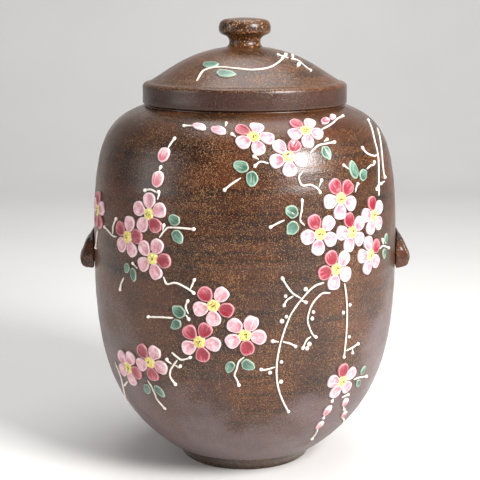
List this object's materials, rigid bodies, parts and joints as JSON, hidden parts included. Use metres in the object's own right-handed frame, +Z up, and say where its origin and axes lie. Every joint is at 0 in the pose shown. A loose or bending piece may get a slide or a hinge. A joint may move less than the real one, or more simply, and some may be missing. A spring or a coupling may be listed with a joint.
{
  "type": "lidded storage jar",
  "caption": "Tall stoneware storage jar with a lift-off domed lid, turned knob, two small lugs, a foot ring and raised slip blossom sprays on its front",
  "frame": {"origin": "centre of the foot ring's flat face, on the ground", "axes": "+Z up through the knob, -Y towards the decorated side, +X towards the right-hand lug seen from that side"},
  "size_m": [0.329, 0.302, 0.4381],
  "materials": {
    "jar_body_glaze": "satin iron-brown ash glaze with fine ochre speckle",
    "foot_clay": "unglazed fired stoneware, wiped",
    "lug_left_glaze": "satin iron-brown ash glaze with fine ochre speckle",
    "lug_right_glaze": "satin iron-brown ash glaze with fine ochre speckle",
    "lid_glaze": "satin iron-brown ash glaze with fine ochre speckle",
    "flange_clay": "unglazed fired stoneware, wiped",
    "knob_glaze": "satin iron-brown ash glaze with fine ochre speckle",
    "left_pale_slip": "brushed pale pink slip under clear glaze",
    "left_rose_slip": "brushed rose-red slip under clear glaze",
    "left_yellow_slip": "dabbed yellow slip",
    "left_green_slip": "brushed grey-green slip",
    "left_white_slip": "trailed white slip",
    "left_bud_slip": "brushed pale pink slip under clear glaze",
    "centre_pale_slip": "brushed pale pink slip under clear glaze",
    "centre_rose_slip": "brushed rose-red slip under clear glaze",
    "centre_yellow_slip": "dabbed yellow slip",
    "centre_green_slip": "brushed grey-green slip",
    "centre_white_slip": "trailed white slip",
    "low_pale_slip": "brushed pale pink slip under clear glaze",
    "low_rose_slip": "brushed rose-red slip under clear glaze",
    "low_yellow_slip": "dabbed yellow slip",
    "low_green_slip": "brushed grey-green slip",
    "low_white_slip": "trailed white slip",
    "shoulder_pale_slip": "brushed pale pink slip under clear glaze",
    "shoulder_rose_slip": "brushed rose-red slip under clear glaze",
    "shoulder_yellow_slip": "dabbed yellow slip",
    "shoulder_green_slip": "brushed grey-green slip",
    "shoulder_white_slip": "trailed white slip",
    "shoulder_bud_slip": "brushed pale pink slip under clear glaze",
    "right_pale_slip": "brushed pale pink slip under clear glaze",
    "right_rose_slip": "brushed rose-red slip under clear glaze",
    "right_yellow_slip": "dabbed yellow slip",
    "right_green_slip": "brushed grey-green slip",
    "right_white_slip": "trailed white slip",
    "trailing_white_slip": "trailed white slip",
    "trailing_dot_slip": "trailed white slip",
    "hanging_pale_slip": "brushed pale pink slip under clear glaze",
    "hanging_rose_slip": "brushed rose-red slip under clear glaze",
    "hanging_yellow_slip": "dabbed yellow slip",
    "hanging_green_slip": "brushed grey-green slip",
    "hanging_white_slip": "trailed white slip",
    "hanging_bud_slip": "brushed rose-red slip under clear glaze",
    "lid_green_slip": "brushed grey-green slip",
    "lid_white_slip": "trailed white slip",
    "lid_bud_slip": "trailed white slip"
  },
  "bodies": {
    "jar": {"jar_body": "jar_body_glaze", "foot_ring": "foot_clay", "lug_left": "lug_left_glaze", "lug_right": "lug_right_glaze", "left_pale_petals": "left_pale_slip", "left_rose_petals": "left_rose_slip", "left_middles": "left_yellow_slip", "left_leaves": "left_green_slip", "left_twigs": "left_white_slip", "left_buds": "left_bud_slip", "centre_pale_petals": "centre_pale_slip", "centre_rose_petals": "centre_rose_slip", "centre_middles": "centre_yellow_slip", "centre_leaves": "centre_green_slip", "centre_twigs": "centre_white_slip", "low_pale_petals": "low_pale_slip", "low_rose_petals": "low_rose_slip", "low_middles": "low_yellow_slip", "low_leaves": "low_green_slip", "low_twigs": "low_white_slip", "shoulder_pale_petals": "shoulder_pale_slip", "shoulder_rose_petals": "shoulder_rose_slip", "shoulder_middles": "shoulder_yellow_slip", "shoulder_leaves": "shoulder_green_slip", "shoulder_twigs": "shoulder_white_slip", "shoulder_buds": "shoulder_bud_slip", "right_pale_petals": "right_pale_slip", "right_rose_petals": "right_rose_slip", "right_middles": "right_yellow_slip", "right_leaves": "right_green_slip", "right_twigs": "right_white_slip", "trailing_twigs": "trailing_white_slip", "trailing_dots": "trailing_dot_slip", "hanging_pale_petals": "hanging_pale_slip", "hanging_rose_petals": "hanging_rose_slip", "hanging_middles": "hanging_yellow_slip", "hanging_leaves": "hanging_green_slip", "hanging_twigs": "hanging_white_slip", "hanging_buds": "hanging_bud_slip"},
    "lid": {"lid_shell": "lid_glaze", "lid_flange": "flange_clay", "lid_knob": "knob_glaze", "lid_leaves": "lid_green_slip", "lid_twigs": "lid_white_slip", "lid_buds": "lid_bud_slip"}
  },
  "joints": [
    {"name": "lid_lift", "type": "slide", "parent": "jar", "child": "lid", "axis": [0, 0, 1], "range_m": [0, 0.15]}
  ]
}
